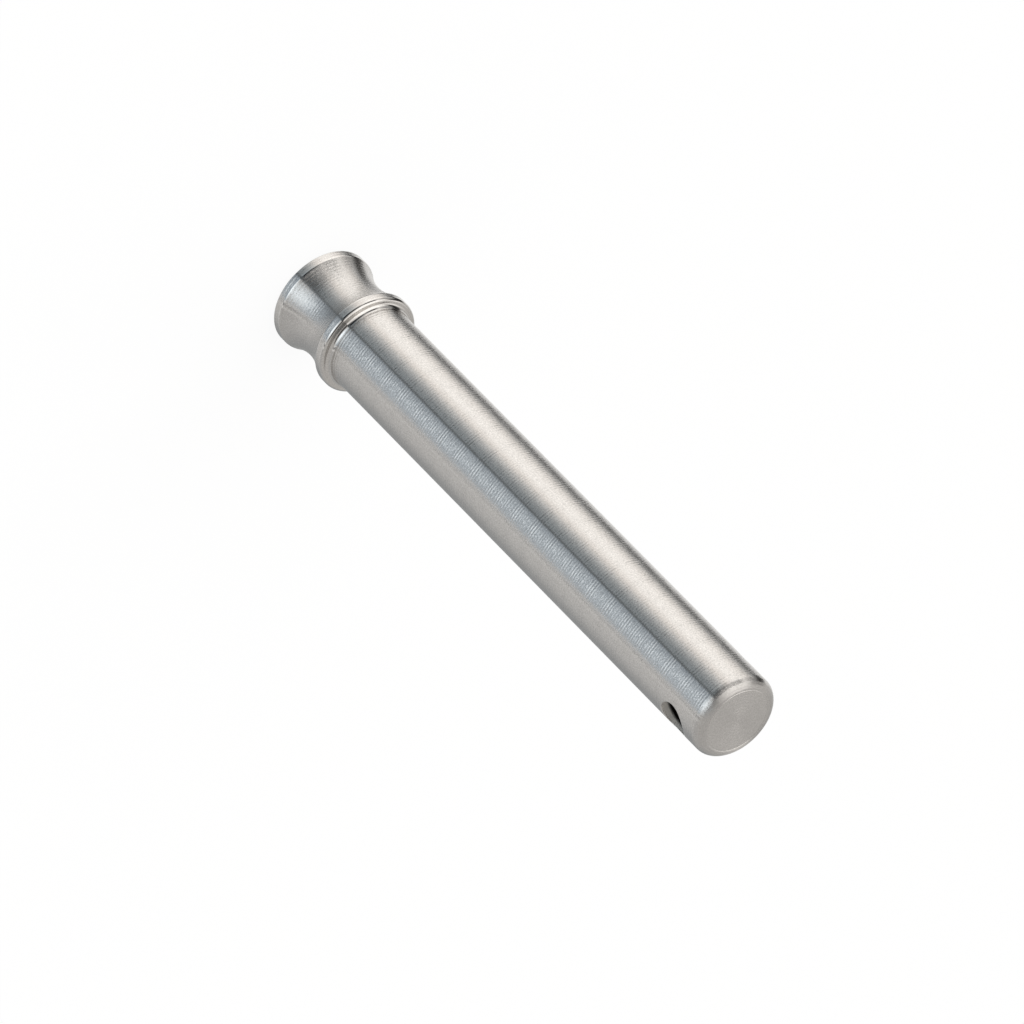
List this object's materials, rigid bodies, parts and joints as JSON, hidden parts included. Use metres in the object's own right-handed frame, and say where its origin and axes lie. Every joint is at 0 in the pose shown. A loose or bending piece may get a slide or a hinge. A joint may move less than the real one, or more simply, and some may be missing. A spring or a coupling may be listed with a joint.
{
  "type": "receiver hitch pin",
  "caption": "Turned stainless hitch pin with a hollow finger-grip head, a stop collar, a plain round shank, a cross hole for a spring clip and a rounded tip.",
  "frame": {"origin": "centre of the head's flat end face, on which the pin stands", "axes": "+Z along the pin's axis from the head to the tip; +X along the clip hole"},
  "size_m": [0.019, 0.019, 0.1237],
  "materials": {
    "stainless_steel": "turned and satin polished, with fine turning lines round the axis"
  },
  "bodies": {
    "root": {"hitch_pin": "stainless_steel"}
  },
  "joints": []
}
